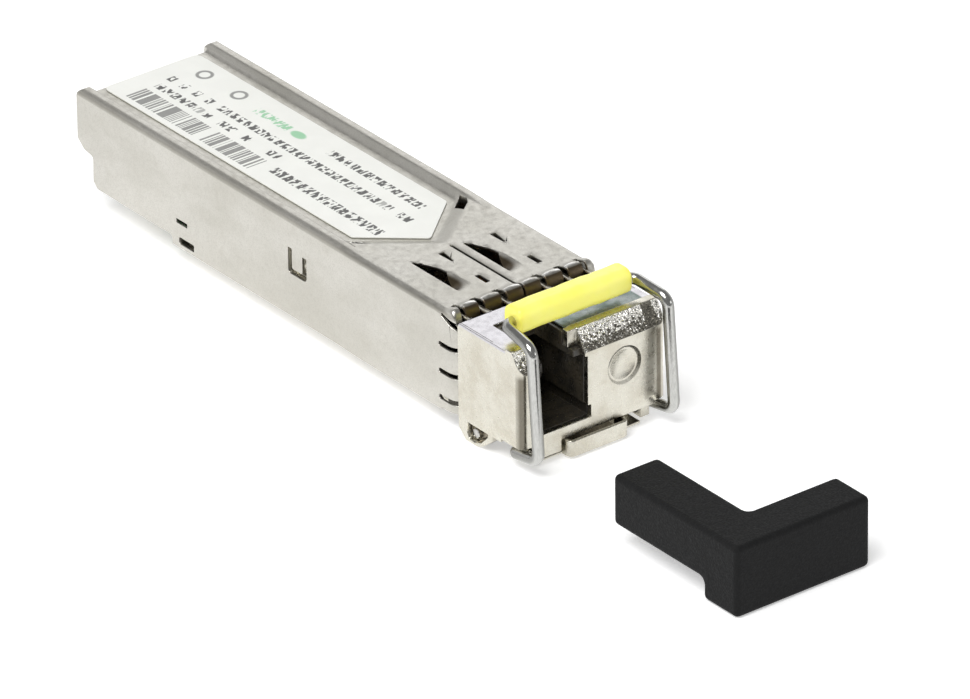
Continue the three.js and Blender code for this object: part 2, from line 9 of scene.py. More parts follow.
import bmesh
import bpy
from mathutils import Matrix, Vector


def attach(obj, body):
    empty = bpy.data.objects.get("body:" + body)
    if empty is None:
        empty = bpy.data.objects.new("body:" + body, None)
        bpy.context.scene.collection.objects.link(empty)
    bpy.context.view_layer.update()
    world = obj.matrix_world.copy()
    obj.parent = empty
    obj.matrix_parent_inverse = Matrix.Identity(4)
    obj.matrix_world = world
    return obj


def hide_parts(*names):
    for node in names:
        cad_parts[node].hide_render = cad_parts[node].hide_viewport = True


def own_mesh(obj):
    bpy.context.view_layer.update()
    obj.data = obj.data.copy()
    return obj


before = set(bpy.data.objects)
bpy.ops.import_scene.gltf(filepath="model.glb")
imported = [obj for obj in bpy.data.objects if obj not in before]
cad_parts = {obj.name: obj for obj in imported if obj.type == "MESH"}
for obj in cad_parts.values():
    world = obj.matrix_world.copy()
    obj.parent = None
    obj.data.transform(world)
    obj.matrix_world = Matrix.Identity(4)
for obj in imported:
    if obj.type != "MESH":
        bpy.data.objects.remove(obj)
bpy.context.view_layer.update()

MM = 0.001
ORIGIN_Y = 30.0

# The stamped cover.
SHELL_HALF = 6.7        # half its width
SHELL_TOP = 8.5
SHELL_REAR = 56.75
SHEET = 0.3             # thickness
FOLD_R = 0.5            # outside radius of the folds
COVER_FRONT = 11.3      # where the spring fingers start
FLOOR_END = 44.7        # where the side walls step up
RECESS_DROP = 0.5       # depth of the label recess
RIM_EDGE = 5.7          # from the middle plane to the rims' inner edges
RIM_RISE = 0.1
RAMP_START = 18.8       # the apex of the recess's arrow-shaped front
RAMP_LENGTH = 1.8
ARROW_SLOPE = 0.81      # mm rearwards per mm sideways
LOUVRES = (-3.9, 1.0)   # their straight left edges
LOUVRE_FRONT = 12.3
LOUVRE_REAR = 18.2
# Middles and widths of the gaps between the top fingers, and heights of the side slots.
TOP_GAPS = ((-5.72, 0.36), (-3.95, 0.54), (-1.85, 0.54), (0.0, 0.16), (1.85, 0.54), (3.95, 0.54),
            (5.72, 0.36))
SIDE_SLOTS = (1.03, 3.25, 5.5)

FLOOR_Z = -1.25         # what the module and its plug lie on


# ------------------------------------------------------------------------------- mesh helpers
def mesh_object(name, points, faces):
    """A new object in millimetres of the drawing frame, until settle() puts it in the row frame."""
    mesh = bpy.data.meshes.new(name)
    mesh.from_pydata([tuple(p) for p in points], [], faces)
    mesh.update()
    obj = bpy.data.objects.new(name, mesh)
    bpy.context.scene.collection.objects.link(obj)
    turn_outwards(obj)
    return obj


def settle(obj):
    """From millimetres in the drawing frame to metres in the row frame."""
    obj.data.transform(Matrix.Scale(MM, 4) @ Matrix.Translation((0.0, -ORIGIN_Y, 0.0)))
    obj.data.update()


def turn_outwards(obj):
    work = bmesh.new()
    work.from_mesh(obj.data)
    bmesh.ops.remove_doubles(work, verts=work.verts, dist=1e-4)
    bmesh.ops.triangulate(work, faces=[f for f in work.faces if len(f.verts) == 4])
    bmesh.ops.recalc_face_normals(work, faces=work.faces)
    work.to_mesh(obj.data)
    work.free()


def apply_modifiers(obj):
    bpy.context.view_layer.update()
    graph = bpy.context.evaluated_depsgraph_get()
    result = bpy.data.meshes.new_from_object(obj.evaluated_get(graph))
    obj.modifiers.clear()
    old = obj.data
    obj.data = result
    bpy.data.meshes.remove(old)


def smooth(t):
    t = min(max(t, 0.0), 1.0)
    return t * t * (3.0 - 2.0 * t)


def fillet(corners, segments=6):
    """Corner points (u, v) or (u, v, radius) as an outline with rounded corners."""
    points = []
    count = len(corners)
    for i, corner in enumerate(corners):
        here = Vector(corner[:2])
        radius = corner[2] if len(corner) > 2 else 0.0
        if radius == 0.0:
            points.append(here)
            continue
        before = (Vector(corners[i - 1][:2]) - here).normalized()
        after = (Vector(corners[(i + 1) % count][:2]) - here).normalized()
        half = before.angle(after) / 2.0
        centre = here + (before + after).normalized() * (radius / math.sin(half))
        start = here + before * (radius / math.tan(half)) - centre
        end = here + after * (radius / math.tan(half)) - centre
        sweep = math.atan2(start.x * end.y - start.y * end.x, start.dot(end))
        for k in range(segments + 1):
            turn = Matrix.Rotation(sweep * k / segments, 2)
            points.append(turn @ start + centre)
    return [(p.x, p.y) for p in points]


def prism(name, outline, low, high, axis):
    """A closed prism: an outline in the two other axes, taken from low to high along axis."""
    def place(u, v, w):
        return {"x": (w, u, v), "y": (u, w, v), "z": (u, v, w)}[axis]

    count = len(outline)
    points = [place(u, v, low) for u, v in outline] + [place(u, v, high) for u, v in outline]
    faces = [list(range(count)), list(range(count, 2 * count))]
    for i in range(count):
        j = (i + 1) % count
        faces.append([i, j, count + j, count + i])
    return mesh_object(name, points, faces)


def block(name, x0, x1, y0, y1, z0, z1):
    return prism(name, [(x0, y0), (x1, y0), (x1, y1), (x0, y1)], z0, z1, "z")


def slab(name, outer, inner):
    """A closed sheet between two grids of points with the same rows and columns."""
    rows, columns = len(outer), len(outer[0])
    points = [p for row in outer for p in row] + [p for row in inner for p in row]
    shift = rows * columns
    faces = []
    for r in range(rows - 1):
        for c in range(columns - 1):
            a = r * columns + c
            quad = [a, a + 1, a + columns + 1, a + columns]
            faces.append(quad)
            faces.append([shift + k for k in reversed(quad)])
    border = [c for c in range(columns)]
    border += [r * columns + columns - 1 for r in range(1, rows)]
    border += [(rows - 1) * columns + c for c in range(columns - 2, -1, -1)]
    border += [r * columns for r in range(rows - 2, 0, -1)]
    for a, b in zip(border, border[1:] + border[:1]):
        faces.append([a, b, shift + b, shift + a])
    return mesh_object(name, points, faces)


def tube(name, path, radius, sides=24):
    """A round wire along a path in millimetres."""
    spots = [Vector(p) for p in path]
    points = []
    side = Vector((0.0, 0.0, 1.0))
    for i, spot in enumerate(spots):
        ahead = spots[min(i + 1, len(spots) - 1)] - spots[max(i - 1, 0)]
        ahead.normalize()
        side = (side - ahead * side.dot(ahead)).normalized()
        across = ahead.cross(side)
        for k in range(sides):
            turn = 2.0 * math.pi * k / sides
            points.append(spot + (side * math.cos(turn) + across * math.sin(turn)) * radius)
    faces = []
    for r in range(len(spots) - 1):
        for k in range(sides):
            n = (k + 1) % sides
            faces.append([r * sides + k, r * sides + n, (r + 1) * sides + n, (r + 1) * sides + k])
    faces.append(list(range(sides)))
    last = (len(spots) - 1) * sides
    faces.append([last + k for k in range(sides)])
    return mesh_object(name, points, faces)


def rounded_path(corners, segments=10):
    """A line through 3-D corners (x, y, z, radius), with each corner rounded."""
    path = []
    for i, (x, y, z, radius) in enumerate(corners):
        here = Vector((x, y, z))
        if radius == 0.0:
            path.append(here)
            continue
        before = (Vector(corners[i - 1][:3]) - here).normalized()
        after = (Vector(corners[i + 1][:3]) - here).normalized()
        half = before.angle(after) / 2.0
        centre = here + (before + after).normalized() * (radius / math.sin(half))
        start = here + before * (radius / math.tan(half)) - centre
        axis = before.cross(after).normalized()
        for k in range(segments + 1):
            turn = Matrix.Rotation(-(math.pi - 2.0 * half) * k / segments, 3, axis)
            path.append(turn @ start + centre)
    return path


def carve(obj, cutters):
    """Cuts closed shapes out of a closed mesh, both still in millimetres; it stays closed."""
    for tool in cutters:
        step = obj.modifiers.new("carve", "BOOLEAN")
        step.operation = "DIFFERENCE"
        step.solver = "MANIFOLD"
        step.object = tool
        apply_modifiers(obj)
        bpy.data.objects.remove(tool)


def keep_cells(obj, pitch=0.6):
    """Marks a coarse net of the grid's edges as seams, so that soften keeps its faces simple."""
    spots = obj.data.vertices
    for edge in obj.data.edges:
        first, second = (spots[i].co for i in edge.vertices)
        for place in (0, 1):
            cells = (first[place] - LOUVRE_FRONT * place) / pitch
            on_line = abs(cells - round(cells)) < 1e-3
            edge.use_seam |= on_line and abs(first[place] - second[place]) < 1e-4


def soften(obj, width, segments=2, angle=32.0, flatten=False):
    """Rounds sharp edges by width millimetres and shades smoothly between them.

    flatten first merges the flat faces' triangles, except across edges marked as seams."""
    for face in obj.data.polygons:
        face.use_smooth = True
    if flatten:
        weld = obj.modifiers.new("weld", "WELD")
        weld.merge_threshold = 2e-6
        merge = obj.modifiers.new("merge", "DECIMATE")
        merge.decimate_type = "DISSOLVE"
        merge.delimit = {"SEAM"}
        merge.angle_limit = math.radians(1.0)
    bevel = obj.modifiers.new("edges", "BEVEL")
    bevel.width = width * MM
    bevel.segments = segments
    bevel.limit_method = "ANGLE"
    bevel.angle_limit = math.radians(angle)
    bevel.use_clamp_overlap = False
    bevel.miter_outer = "MITER_ARC"
    normals = obj.modifiers.new("normals", "WEIGHTED_NORMAL")
    normals.keep_sharp = False
    normals.weight = 60


# --------------------------------------------------------------------------- material helpers
class Paint:
    """One procedural material. Its texture coordinates are millimetres in the drawing frame."""

    def __init__(self, name, color, roughness, metallic=0.0, **sockets):
        self.material = bpy.data.materials.new(name)
        self.material.use_nodes = True
        self.tree = self.material.node_tree
        self.shader = self.tree.nodes["Principled BSDF"]
        self.set("Base Color", (*color, 1.0))
        self.set("Roughness", roughness)
        self.set("Metallic", metallic)
        for socket, value in sockets.items():
            self.set(socket.replace("_", " "), value)
        where = self.tree.nodes.new("ShaderNodeTexCoord").outputs["Object"]
        scaled = self.vector("SCALE", where, scale=1.0 / MM)
        self.place = self.vector("ADD", scaled, (0.0, ORIGIN_Y, 0.0))

    def set(self, socket, value):
        self.shader.inputs[socket].default_value = value

    def node(self, kind, **settings):
        made = self.tree.nodes.new(kind)
        for key, value in settings.items():
            setattr(made, key, value)
        return made

    def feed(self, socket, value):
        if isinstance(value, bpy.types.NodeSocket):
            self.tree.links.new(value, socket)
        else:
            socket.default_value = value

    def vector(self, operation, first, second=None, scale=None):
        made = self.node("ShaderNodeVectorMath", operation=operation)
        self.feed(made.inputs[0], first)
        if second is not None:
            self.feed(made.inputs[1], second)
        if scale is not None:
            made.inputs["Scale"].default_value = scale
        return made.outputs["Value"] if operation == "DOT_PRODUCT" else made.outputs["Vector"]

    def math(self, operation, first, second=0.0, third=0.0):
        made = self.node("ShaderNodeMath", operation=operation)
        self.feed(made.inputs[0], first)
        self.feed(made.inputs[1], second)
        self.feed(made.inputs[2], third)
        return made.outputs[0]

    def axis(self, name):
        split = self.node("ShaderNodeSeparateXYZ")
        self.feed(split.inputs[0], self.place)
        return split.outputs[name]

    def stretched(self, x, y, z):
        return self.vector("MULTIPLY", self.place, (x, y, z))

    def noise(self, scale, detail=3.0, rough=0.55, stretch=None, twist=0.0):
        made = self.node("ShaderNodeTexNoise")
        self.feed(made.inputs["Vector"], self.stretched(*stretch) if stretch else self.place)
        made.inputs["Scale"].default_value = scale
        made.inputs["Detail"].default_value = detail
        made.inputs["Roughness"].default_value = rough
        made.inputs["Distortion"].default_value = twist
        return made.outputs["Fac"]

    def cells(self, scale, stretch=None):
        made = self.node("ShaderNodeTexVoronoi")
        self.feed(made.inputs["Vector"], self.stretched(*stretch) if stretch else self.place)
        made.inputs["Scale"].default_value = scale
        return made.outputs["Distance"]

    def spread(self, value, low, high, out_low=0.0, out_high=1.0):
        """value going from low to high becomes out_low going smoothly to out_high."""
        made = self.node("ShaderNodeMapRange", interpolation_type="SMOOTHSTEP")
        self.feed(made.inputs["Value"], value)
        made.inputs["From Min"].default_value = low
        made.inputs["From Max"].default_value = high
        made.inputs["To Min"].default_value = out_low
        made.inputs["To Max"].default_value = out_high
        return made.outputs["Result"]

    def between(self, value, low, high, soft):
        """1 where value lies between low and high, 0 outside, with soft borders."""
        rise = self.spread(value, low - soft, low + soft)
        fall = self.spread(value, high - soft, high + soft, 1.0, 0.0)
        return self.math("MULTIPLY", rise, fall)

    def inside(self, x, y, z=None, soft=0.05):
        """A mask for the box of the given (low, high) ranges."""
        mask = self.math("MULTIPLY", self.between(self.axis("X"), *x, soft),
                         self.between(self.axis("Y"), *y, soft))
        if z:
            mask = self.math("MULTIPLY", mask, self.between(self.axis("Z"), *z, soft))
        return mask

    def facing(self, x, y, z, low=0.5, high=0.9):
        """1 where the surface faces the given direction, fading to 0 as it turns away."""
        made = self.node("ShaderNodeTexCoord")
        direction = Vector((x, y, z)).normalized()
        return self.spread(self.vector("DOT_PRODUCT", made.outputs["Normal"], direction), low, high)

    def edges(self, radius):
        """1 close to a sharp edge, found by how far a rounded normal leans from the real one."""
        rounded = self.node("ShaderNodeBevel", samples=6)
        rounded.inputs["Radius"].default_value = radius * MM
        plain = self.node("ShaderNodeNewGeometry").outputs["Normal"]
        lean = self.vector("DOT_PRODUCT", rounded.outputs["Normal"], plain)
        return self.spread(lean, 0.995, 0.85)

    def blend(self, factor, first, second):
        made = self.node("ShaderNodeMix", data_type="RGBA")
        self.feed(made.inputs["Factor"], factor)
        for socket, value in ((made.inputs[6], first), (made.inputs[7], second)):
            self.feed(socket, (*value, 1.0) if isinstance(value, tuple) else value)
        return made.outputs[2]

    def color(self, value):
        self.feed(self.shader.inputs["Base Color"], value)

    def roughness(self, value):
        self.feed(self.shader.inputs["Roughness"], value)

    def bump(self, height, strength, distance, under=None):
        made = self.node("ShaderNodeBump")
        made.inputs["Strength"].default_value = strength
        made.inputs["Distance"].default_value = distance * MM
        self.feed(made.inputs["Height"], height)
        if under is not None:
            self.feed(made.inputs["Normal"], under)
        self.feed(self.shader.inputs["Normal"], made.outputs["Normal"])
        return made.outputs["Normal"]

    def coat_on(self, obj):
        obj.data.materials.clear()
        obj.data.materials.append(self.material)


# ---------------------------------------------------------------------------------- materials
def plated_sheet():
    """Matt tin-nickel plating on stamped steel: fine speckle, faint stains, rubbed edges, a painted
    dark reflection along the side folds, and painted shade and highlights at the stamped places.
    """
    paint = Paint("plated_sheet", (0.56, 0.545, 0.495), 0.36, 1.0)
    speckle = paint.noise(9.0, 4.0, 0.7)
    clouds = paint.noise(0.16, 3.0, 0.6, stretch=(1.0, 0.6, 1.4))
    stain = paint.spread(paint.noise(0.45, 4.0, 0.65, twist=0.6), 0.52, 0.72)
    tone = paint.blend(paint.spread(clouds, 0.3, 0.7), (0.61, 0.595, 0.55), (0.53, 0.515, 0.465))
    tone = paint.blend(paint.spread(speckle, 0.42, 0.68, 0.0, 0.42), tone, (0.40, 0.385, 0.345))
    tone = paint.blend(paint.math("MULTIPLY", stain, 0.22), tone, (0.43, 0.405, 0.35))
    # Painted dark reflection along the rounded folds at the tops of the side walls.
    fold = paint.between(paint.axis("Z"), 8.05, 8.37, 0.08)
    side = paint.spread(paint.math("ABSOLUTE", paint.axis("X")), 6.25, 6.45)
    tone = paint.blend(paint.math("MULTIPLY", paint.math("MULTIPLY", fold, side), 0.55), tone,
                       (0.24, 0.225, 0.19))
    tone = paint.blend(paint.math("MULTIPLY", paint.edges(0.10), 0.4), tone, (0.72, 0.71, 0.68))
    paint.color(stamped_places(paint, tone))
    paint.roughness(paint.spread(paint.noise(2.2, 3.0), 0.3, 0.75, 0.30, 0.44))
    grain = paint.noise(14.0, 3.0, 0.7)
    scratches = paint.noise(5.0, 2.0, 0.5, stretch=(9.0, 0.35, 9.0))
    first = paint.bump(grain, 0.35, 0.02)
    paint.bump(scratches, 0.18, 0.015, first)
    return paint


def stamped_places(paint, tone):
    """Painted shade in the louvres, painted dark reflections on the fingers' faces, a painted shadow
    line at the rim's foot and painted highlights on the crests.
    """
    louvre_shade_colour = (0.085, 0.065, 0.04)
    # Painted shade in the pressed-down louvres, darkest where they lie deepest.
    deep = paint.spread(paint.axis("Z"), 8.49, 8.24)
    louvre = paint.math("MULTIPLY", deep, paint.inside((-4.2, 3.2), (12.0, 18.4)))
    tone = paint.blend(louvre, tone, louvre_shade_colour)
    # Painted dark reflection on the steep front faces of the top fingers.
    face = paint.inside((-5.95, 5.95), (9.2, 9.98), (7.3, 8.72), soft=0.06)
    tone = paint.blend(paint.math("MULTIPLY", face, 0.95), tone, (0.105, 0.075, 0.042))
    # Painted highlights along the fingers' crests, patchy along their length.
    crest = paint.inside((-5.6, 5.6), (10.02, 10.3), (8.6, 9.0), soft=0.05)
    patchy = paint.spread(paint.noise(1.4, 2.0), 0.35, 0.6)
    tone = paint.blend(paint.math("MULTIPLY", crest, patchy), tone, (0.97, 0.96, 0.93))
    # A painted shadow line along the foot of the near rim's inner wall.
    foot = paint.inside((-5.80, -5.67), (22.8, 55.8), (8.1, 8.7), soft=0.03)
    return paint.blend(paint.math("MULTIPLY", foot, 0.7), tone, (0.10, 0.09, 0.075))


def nickel_casting():
    """Nickel-plated zinc casting: smooth faces, a cast chamfer with real pits and painted glints, dull
    top behind it; painted shade and reflections at the front corners, in the tray, ears and gaps.
    """
    paint = Paint("nickel_casting", (0.6, 0.57, 0.49), 0.27, 1.0)
    clouds = paint.noise(0.5, 3.0, 0.6)
    tone = paint.blend(paint.spread(clouds, 0.35, 0.7), (0.65, 0.63, 0.555), (0.56, 0.53, 0.45))
    speckle = paint.spread(paint.noise(12.0, 3.0, 0.7), 0.5, 0.75, 0.0, 0.25)
    tone = paint.blend(speckle, tone, (0.36, 0.33, 0.26))
    off_mark = oval_side(paint, (2.9, 4.6), 2.0)
    rubbed = paint.math("MULTIPLY", paint.edges(0.12), off_mark)
    tone = paint.blend(paint.math("MULTIPLY", rubbed, 0.5), tone, (0.78, 0.76, 0.70))
    tone = painted_casting_shade(paint, tone)
    tone = nose_deck(paint, tone)
    # The cast chamfer: real pits and roughness, with painted glints, more of them towards its top, and
    # painted shade towards its foot and its right end.
    chamfer = paint.math("MULTIPLY", paint.facing(0.0, -0.83, 0.55, 0.93, 0.985),
                         paint.between(paint.axis("Z"), 6.75, 8.6, 0.12))
    glints_upward = paint.spread(paint.axis("Z"), 6.9, 8.4, -0.13, 0.13)
    smooth_end = paint.between(paint.axis("X"), 5.25, 6.15, 0.15)
    glints_upward = paint.math("SUBTRACT", glints_upward, paint.math("MULTIPLY", smooth_end, 0.5))
    glint_flecks = paint.math("ADD", paint.noise(4.6, 2.0, 0.6), glints_upward)
    chamfer_glints = paint.blend(paint.spread(glint_flecks, 0.43, 0.56), (0.16, 0.15, 0.125), (0.98, 0.96, 0.90))
    paint.color(paint.blend(chamfer, tone, chamfer_glints))
    rough = paint.spread(paint.noise(1.6, 3.0), 0.3, 0.75, 0.22, 0.34)
    paint.roughness(paint.math("SUBTRACT", rough, paint.math("MULTIPLY", chamfer, 0.10)))
    pits = paint.math("MULTIPLY", paint.noise(4.0, 2.0, 0.5), chamfer)
    first = paint.bump(paint.noise(11.0, 3.0, 0.65), 0.25, 0.02)
    paint.bump(pits, 1.0, 0.30, first)
    return paint


def oval_side(paint, centre, reach):
    """0 within reach of (x, z) on the front face and 1 outside."""
    offset = paint.vector("SUBTRACT", paint.place, (centre[0], 0.0, centre[1]))
    flat = paint.vector("MULTIPLY", offset, (1.0, 0.0, 1.0))
    length = paint.node("ShaderNodeVectorMath", operation="LENGTH")
    paint.feed(length.inputs[0], flat)
    return paint.spread(length.outputs["Value"], reach * 0.9, reach)


def painted_casting_shade(paint, tone):
    """Painted dark reflections along the two upright corners of the front, painted shade in the tray
    and in the ears, and painted shadow on the casting under the cover's fingers.
    """
    # Painted dark reflection in the two rounded upright corners of the front.
    upright = paint.between(paint.axis("Z"), 0.5, 6.7, 0.3)
    near_front = paint.spread(paint.axis("Y"), 2.15, 1.95)
    for low, high in ((-6.84, -6.35), (5.9, 6.35)):
        band = paint.math("MULTIPLY", paint.between(paint.axis("X"), low, high, 0.12), near_front)
        band = paint.math("MULTIPLY", band, upright)
        tone = paint.blend(paint.math("MULTIPLY", band, 0.8), tone, (0.09, 0.075, 0.05))
    # Painted shade inside the rocker's tray and inside the curled ears.
    tray = paint.inside((-2.6, 2.6), (0.98, 5.7), (-1.0, 0.33), soft=0.04)
    ear = paint.math("MULTIPLY", paint.inside((-6.4, 6.4), (5.2, 8.0), (-1.15, 0.36)),
                     paint.spread(paint.math("ABSOLUTE", paint.axis("X")), 5.7, 5.8))
    tone = paint.blend(paint.math("MULTIPLY", paint.math("MAXIMUM", tray, ear), 0.75), tone,
                       (0.13, 0.10, 0.06))
    # Painted shadow on the casting under the cover's fingers, behind the nose's rear edge.
    behind = paint.inside((-7.0, 7.0), (9.06, 11.4), (-0.5, 8.14))
    return paint.blend(paint.math("MULTIPLY", behind, 0.94), tone, (0.03, 0.026, 0.02))


def nose_deck(paint, tone):
    """The top of the nose: pale and bluish, a painted teal reflection beside the port, with a scored
    edge.
    """
    deck = paint.inside((-6.9, 6.9), (3.25, 8.9), (8.1, 8.45))
    tone = paint.blend(paint.math("MULTIPLY", deck, 0.9), tone, (0.56, 0.55, 0.585))
    # Painted teal reflection on the glossy deck beside the port.
    teal_reflection = paint.inside((-1.3, 6.2), (3.25, 5.2), (8.1, 8.45), soft=0.08)
    mottle = paint.spread(paint.noise(0.8, 2.0), 0.3, 0.7, 0.75, 1.0)
    tone = paint.blend(paint.math("MULTIPLY", teal_reflection, mottle), tone, (0.13, 0.17, 0.155))
    for x in (-6.66, 6.66):
        score = paint.inside((x - 0.035, x + 0.035), (4.9, 8.8), (8.1, 8.45), soft=0.02)
        tone = paint.blend(paint.math("MULTIPLY", score, 0.85), tone, (0.05, 0.045, 0.04))
    return tone


def wire_steel():
    """Drawn stainless wire: polished, with faint drawing lines and painted dark reflections down its
    sides.
    """
    paint = Paint("wire_steel", (0.55, 0.55, 0.53), 0.17, 1.0)
    lines = paint.noise(6.0, 2.0, 0.5, stretch=(6.0, 6.0, 0.3))
    tone = paint.blend(paint.spread(lines, 0.3, 0.75), (0.58, 0.58, 0.56), (0.43, 0.43, 0.41))
    # Painted dark reflections down the sides of the wire that face right-front and left-rear.
    flank_dark_reflection = paint.math("MAXIMUM", paint.facing(0.79, -0.61, 0.0, 0.45, 0.95),
                        paint.facing(-0.79, 0.61, 0.0, 0.45, 0.95))
    paint.color(paint.blend(paint.math("MULTIPLY", flank_dark_reflection, 0.75), tone, (0.14, 0.14, 0.13)))
    paint.roughness(paint.spread(paint.noise(3.0, 2.0), 0.3, 0.7, 0.13, 0.24))
    paint.bump(lines, 0.12, 0.02)
    return paint


def steel():
    """Machined steel: turning marks and a little discolouring."""
    paint = Paint("steel", (0.52, 0.51, 0.49), 0.28, 1.0)
    marks = paint.noise(5.0, 2.0, 0.5, stretch=(0.5, 8.0, 0.5))
    paint.color(paint.blend(paint.spread(marks, 0.3, 0.7), (0.58, 0.57, 0.55), (0.42, 0.405, 0.38)))
    paint.roughness(paint.spread(paint.noise(2.5), 0.3, 0.7, 0.22, 0.36))
    paint.bump(marks, 0.2, 0.02)
    return paint


def black_rubber():
    """Matt black moulded rubber with a fine leathery grain, paler along its sharp edges."""
    paint = Paint("black_rubber", (0.008, 0.008, 0.008), 0.66, Specular_IOR_Level=0.15)
    dust = paint.spread(paint.noise(2.4, 5.0, 0.7), 0.45, 0.8, 0.0, 0.6)
    tone = paint.blend(dust, (0.009, 0.0092, 0.0094), (0.016, 0.0165, 0.017))
    tone = paint.blend(paint.math("MULTIPLY", paint.edges(0.35), 0.55), tone, (0.028, 0.0285, 0.029))
    paint.color(tone)
    paint.roughness(paint.spread(paint.noise(6.0, 3.0), 0.3, 0.7, 0.58, 0.74))
    grain = paint.cells(7.0)
    first = paint.bump(grain, 0.35, 0.05)
    paint.bump(paint.noise(1.3, 2.0), 0.3, 0.12, first)
    return paint


def yellow_plastic():
    """Slightly clear yellow vinyl sleeve, with a faint painted glow."""
    paint = Paint("yellow_plastic", (0.98, 0.95, 0.20), 0.38, Subsurface_Weight=0.35,
                  Subsurface_Scale=0.6 * MM, Coat_Weight=0.15, Coat_Roughness=0.25)
    paint.set("Subsurface Radius", (1.0, 0.8, 0.2))
    # Faint yellow emission: a painted glow, for the sleeve is no lamp.
    paint.set("Emission Color", (1.0, 0.93, 0.16, 1.0))
    paint.set("Emission Strength", 0.14)
    clouds = paint.noise(0.5, 3.0, 0.55)
    tone = paint.blend(paint.spread(clouds, 0.3, 0.7), (1.0, 0.97, 0.24), (0.98, 0.93, 0.17))
    end = paint.spread(paint.math("ABSOLUTE", paint.axis("X")), 4.4, 5.4, 0.0, 0.5)
    paint.color(paint.blend(end, tone, (0.98, 0.80, 0.06)))
    paint.roughness(paint.spread(paint.noise(2.0, 3.0), 0.3, 0.7, 0.32, 0.46))
    paint.bump(paint.noise(1.6, 3.0, stretch=(0.5, 1.5, 1.5)), 0.3, 0.12)
    return paint


def black_plastic():
    """Moulded port lining: satin black with a brownish sheen."""
    paint = Paint("black_plastic", (0.040, 0.034, 0.024), 0.34)
    tone = paint.blend(paint.spread(paint.noise(0.9, 3.0), 0.3, 0.7), (0.050, 0.042, 0.030),
                       (0.026, 0.024, 0.020))
    paint.color(tone)
    paint.roughness(paint.spread(paint.noise(3.0, 3.0), 0.3, 0.7, 0.24, 0.42))
    paint.bump(paint.noise(8.0, 2.0), 0.2, 0.03)
    return paint


def label_paper():
    """Off-white polyester label with a generic print: bars, greeked lines, a plain mark and dots."""
    paint = Paint("label_paper", (0.82, 0.82, 0.80), 0.48, Specular_IOR_Level=0.4)
    tone = paint.blend(paint.spread(paint.noise(0.35, 3.0), 0.3, 0.7), (0.92, 0.925, 0.88),
                       (0.88, 0.885, 0.84))
    ink = (0.045, 0.045, 0.045)
    bars = paint.spread(stripes(paint, paint.axis("Y"), 0.11, 3.1), 0.44, 0.48)
    bars = paint.math("MULTIPLY", bars, paint.inside((-4.0, -2.05), (38.5, 54.0)))
    tone = paint.blend(paint.math("MULTIPLY", bars, 0.72), tone, ink)
    lines = (
        ((-3.0, -2.05), (23.8, 37.2), 0.85, 11.0),
        ((-1.45, -0.65), (38.5, 54.0), 1.0, 23.0),
        ((0.05, 0.85), (23.6, 54.3), 0.8, 37.0),
        ((2.1, 2.9), (25.2, 36.8), 0.85, 51.0),
    )
    for across, reach, pitch, seed in lines:
        mark = greeked_line(paint, across, reach, pitch, seed)
        tone = paint.blend(paint.math("MULTIPLY", mark, 0.92), tone, ink)
    leaf = oval(paint, (2.35, 40.5), (0.5, 0.85), 0.75, 1.1, 1.0, 0.0)
    streak = paint.inside((1.95, 2.8), (41.7, 45.8), soft=0.1)
    grain = paint.spread(paint.noise(2.2, 1.0, stretch=(0.8, 1.6, 1.0)), 0.44, 0.54)
    mark = paint.math("MAXIMUM", leaf, paint.math("MULTIPLY", streak, grain))
    tone = paint.blend(paint.math("MULTIPLY", mark, 0.75), tone, (0.16, 0.55, 0.26))
    for centre in (48.6, 53.0):
        dot = oval(paint, (2.8, centre), (0.72, 0.72), 0.55, 0.7, 0.0, 1.0)
        band = paint.math("MULTIPLY", dot, oval(paint, (2.8, centre), (0.72, 0.72), 0.9, 1.1, 1.0, 0.0))
        tone = paint.blend(paint.math("MULTIPLY", band, 0.7), tone, ink)
    paint.color(tone)
    paint.roughness(paint.spread(paint.noise(4.0, 3.0), 0.3, 0.7, 0.42, 0.56))
    paint.bump(paint.noise(6.0, 3.0), 0.12, 0.02)
    return paint


def stripes(paint, value, pitch, seed):
    """A random number that changes every pitch along value."""
    step = paint.math("FLOOR", paint.math("DIVIDE", value, pitch))
    made = paint.node("ShaderNodeTexWhiteNoise", noise_dimensions="1D")
    paint.feed(made.inputs["W"], paint.math("ADD", step, seed))
    return made.outputs["Value"]


def greeked_line(paint, across, reach, pitch, seed):
    """A row of small blots with gaps, as small print looks when it can't be read."""
    phase = paint.math("FRACT", paint.math("DIVIDE", paint.axis("Y"), pitch))
    cell = paint.between(phase, 0.12, 0.88, 0.06)
    drawn = paint.spread(stripes(paint, paint.axis("Y"), pitch, seed), 0.12, 0.14)
    blots = paint.spread(paint.noise(2.6, 0.0, stretch=(0.9, 1.3, 0.0), twist=seed * 0.01), 0.41, 0.49)
    body = paint.inside(across, reach, soft=0.05)
    return paint.math("MULTIPLY", paint.math("MULTIPLY", cell, drawn),
                      paint.math("MULTIPLY", blots, body))


def oval(paint, centre, radii, low, high, at_low, at_high):
    """A value that changes from at_low to at_high across the rim of a printed oval."""
    offset = paint.vector("SUBTRACT", paint.place, (*centre, 0.0))
    flat = paint.vector("MULTIPLY", offset, (1.0 / radii[0], 1.0 / radii[1], 0.0))
    length = paint.node("ShaderNodeVectorMath", operation="LENGTH")
    paint.feed(length.inputs[0], flat)
    return paint.spread(length.outputs["Value"], low, high, at_low, at_high)


def ceramic():
    paint = Paint("ceramic", (0.80, 0.78, 0.72), 0.22)
    paint.color(paint.blend(paint.noise(1.5), (0.84, 0.82, 0.76), (0.74, 0.72, 0.66)))
    paint.bump(paint.noise(9.0), 0.1, 0.01)
    return paint


